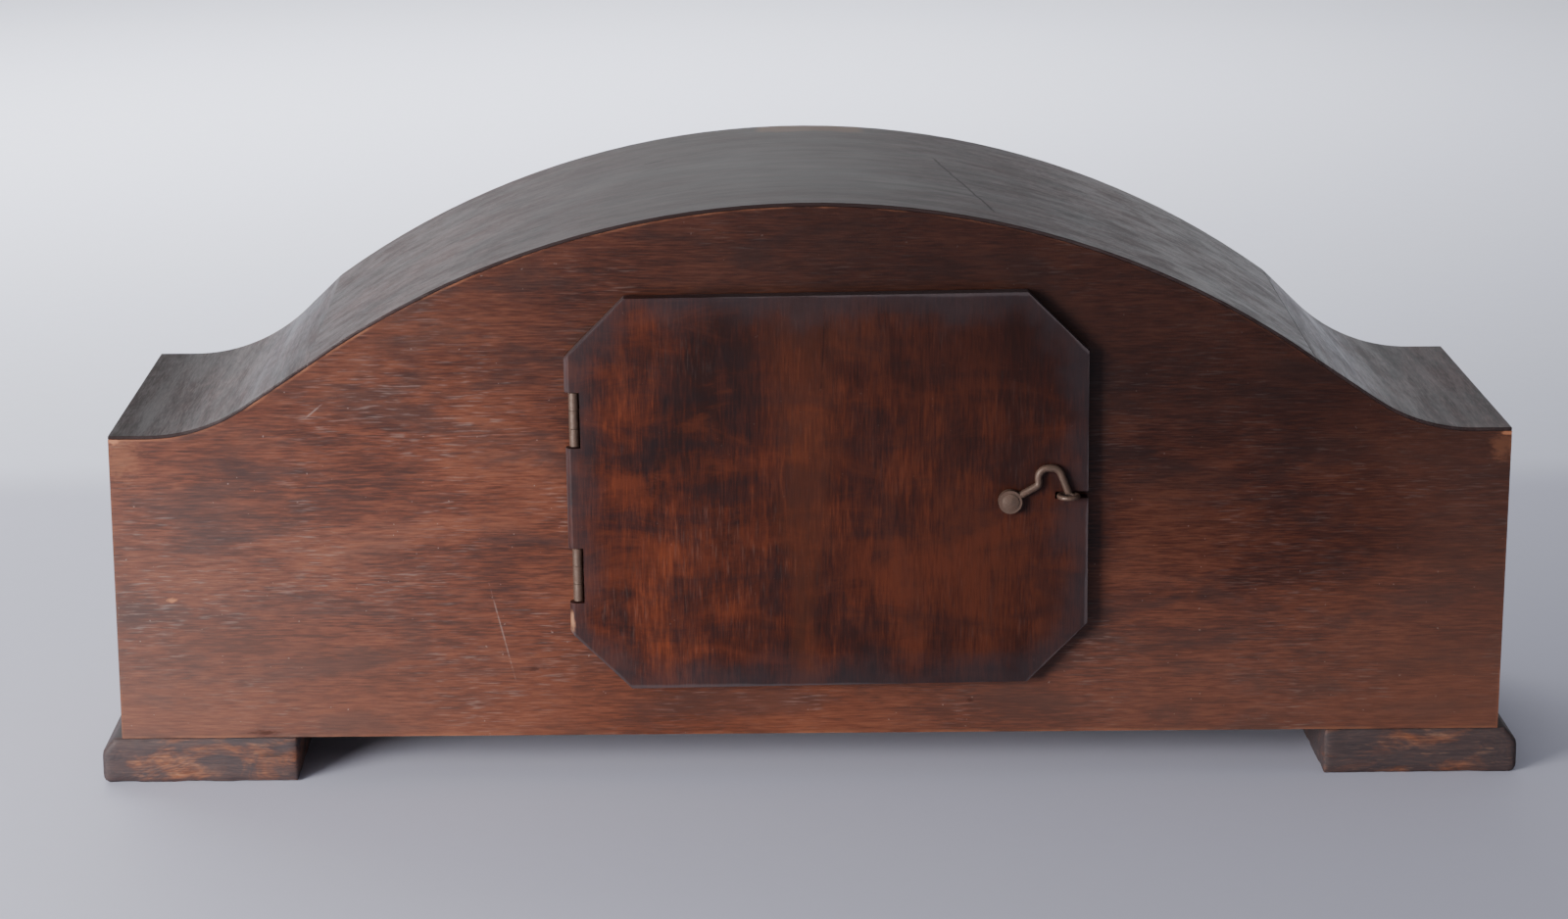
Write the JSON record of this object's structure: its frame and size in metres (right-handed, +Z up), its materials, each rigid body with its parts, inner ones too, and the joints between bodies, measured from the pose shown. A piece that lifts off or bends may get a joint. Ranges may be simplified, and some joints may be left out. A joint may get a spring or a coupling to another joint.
{
  "type": "table clock",
  "caption": "Hat-shaped wooden mantel clock on two feet, with a hooked back door, hinged glass bezel, dial, hands and a pendulum movement.",
  "frame": {"origin": "middle of the bounding box, on the surface under the feet", "axes": "+Z up, -Y out of the dial, +Y out of the back door, +X to the right seen from the front"},
  "size_m": [0.464, 0.1442, 0.1968],
  "materials": {
    "case_veneer": "worn satin polish",
    "top_veneer": "dark worn polish",
    "solid_wood": "worn",
    "door_wood": "dull polish",
    "aged_iron": "tarnished",
    "movement_steel": "satin",
    "movement_brass": "satin",
    "bezel_brass": "polished",
    "silvered_dial": "silvered",
    "blued_hands": "blued",
    "bezel_glass": "clear"
  },
  "bodies": {
    "case": {"front_panel": "case_veneer", "back_panel": "case_veneer", "top_arch": "top_veneer", "left_shoulder": "top_veneer", "right_shoulder": "top_veneer", "left_end_panel": "case_veneer", "right_end_panel": "case_veneer", "base_board": "case_veneer", "left_foot": "solid_wood", "right_foot": "solid_wood", "foot_screws": "aged_iron", "glue_blocks": "solid_wood", "hinge_frame_leaves": "aged_iron", "hinge_pins": "aged_iron", "hinge_frame_screws": "aged_iron", "latch_eye": "aged_iron", "dial_plate": "silvered_dial", "dial_ring": "bezel_brass", "bezel_hinge_pin": "bezel_brass", "front_plate": "movement_brass", "back_plate": "movement_brass", "pillars": "movement_steel", "pillar_nuts": "movement_steel", "movement_screws": "aged_iron", "click_spring": "movement_steel", "click_screw": "movement_steel", "suspension_cock": "movement_brass", "suspension_spring": "movement_steel"},
    "door": {"back_door": "door_wood", "hinge_door_leaves": "aged_iron", "hinge_door_screws": "aged_iron", "latch_pivot_screw": "aged_iron"},
    "hook": {"latch_hook": "aged_iron"},
    "bezel": {"bezel_ring": "bezel_brass", "bezel_glass": "bezel_glass", "bezel_knob": "bezel_brass"},
    "centre": {"centre_arbor": "movement_steel", "centre_wheel": "movement_brass", "cannon_pinion": "movement_steel", "minute_hand": "blued_hands", "hand_nut": "movement_steel"},
    "minute_work": {"minute_wheel": "movement_brass"},
    "hour_work": {"hour_wheel": "movement_brass", "hour_hand": "blued_hands"},
    "second": {"second_arbor": "movement_steel", "second_wheel": "movement_brass"},
    "barrel": {"mainspring_barrel": "movement_brass", "barrel_cap": "movement_brass", "mainspring": "movement_steel"},
    "third": {"third_arbor": "movement_steel", "third_wheel": "movement_brass"},
    "escape": {"escape_arbor": "movement_steel", "escape_wheel": "movement_brass"},
    "pallets": {"pallet_anchor": "movement_steel"},
    "pendulum": {"pendulum_rod": "movement_steel", "pendulum_bob": "movement_brass", "rating_nut": "movement_brass"},
    "winding": {"winding_arbor": "movement_steel", "ratchet_wheel": "movement_brass"},
    "pawl": {"click": "movement_steel"}
  },
  "joints": [
    {"name": "door_swing", "type": "hinge", "parent": "case", "child": "door", "pos_m": [0.07584, 0.0642, 0.09738], "axis": [-0.0113, 0, -0.9999], "range_deg": [0, 110]},
    {"name": "hook_swing", "type": "hinge", "parent": "door", "child": "hook", "pos_m": [-0.06314, 0.0683, 0.09546], "axis": [0, 1, 0], "range_deg": [0, 100]},
    {"name": "bezel_swing", "type": "hinge", "parent": "case", "child": "bezel", "pos_m": [-0.0764, -0.0603, 0.1115], "axis": [0, 0, -1], "range_deg": [0, 110]},
    {"name": "hands_turn", "type": "hinge", "parent": "case", "child": "centre", "pos_m": [0, -0.0438, 0.1115], "axis": [0, 1, 0], "continuous": true},
    {"name": "minute_work_turn", "type": "hinge", "parent": "case", "child": "minute_work", "pos_m": [-0.00707, -0.0482, 0.11857], "axis": [0, 1, 0], "continuous": true},
    {"name": "hour_turn", "type": "hinge", "parent": "case", "child": "hour_work", "pos_m": [0, -0.0506, 0.1115], "axis": [0, 1, 0], "continuous": true},
    {"name": "second_turn", "type": "hinge", "parent": "case", "child": "second", "pos_m": [-0.02126, -0.0438, 0.09742], "axis": [0, 1, 0], "continuous": true},
    {"name": "barrel_turn", "type": "hinge", "parent": "case", "child": "barrel", "pos_m": [0, -0.0438, 0.0735], "axis": [0, 1, 0], "continuous": true},
    {"name": "third_turn", "type": "hinge", "parent": "case", "child": "third", "pos_m": [0.01529, -0.0438, 0.12817], "axis": [0, 1, 0], "continuous": true},
    {"name": "escape_turn", "type": "hinge", "parent": "case", "child": "escape", "pos_m": [0, -0.0438, 0.1415], "axis": [0, 1, 0], "continuous": true},
    {"name": "pendulum_swing", "type": "hinge", "parent": "case", "child": "pendulum", "pos_m": [0, 0.0052, 0.15678], "axis": [0, 1, 0], "range_deg": [-3.5, 3.5]},
    {"name": "pallet_rock", "type": "hinge", "parent": "case", "child": "pallets", "pos_m": [0, -0.0438, 0.15678], "axis": [0, 1, 0], "range_deg": [-3.5, 3.5]},
    {"name": "winding_turn", "type": "hinge", "parent": "case", "child": "winding", "pos_m": [0, -0.0053, 0.0735], "axis": [0, 1, 0], "continuous": true},
    {"name": "click_lift", "type": "hinge", "parent": "case", "child": "pawl", "pos_m": [0.0015, -0.0053, 0.09084], "axis": [0, -1, 0], "range_deg": [0, 10]}
  ],
  "couplings": [
    {"joint": "minute_work_turn", "follows": "hands_turn", "ratio": -0.33333},
    {"joint": "hour_turn", "follows": "hands_turn", "ratio": 0.083333},
    {"joint": "second_turn", "follows": "hands_turn", "ratio": -0.2},
    {"joint": "barrel_turn", "follows": "hands_turn", "ratio": 0.022222},
    {"joint": "third_turn", "follows": "hands_turn", "ratio": -12},
    {"joint": "escape_turn", "follows": "hands_turn", "ratio": 144},
    {"joint": "pallet_rock", "follows": "pendulum_swing", "ratio": 1}
  ]
}
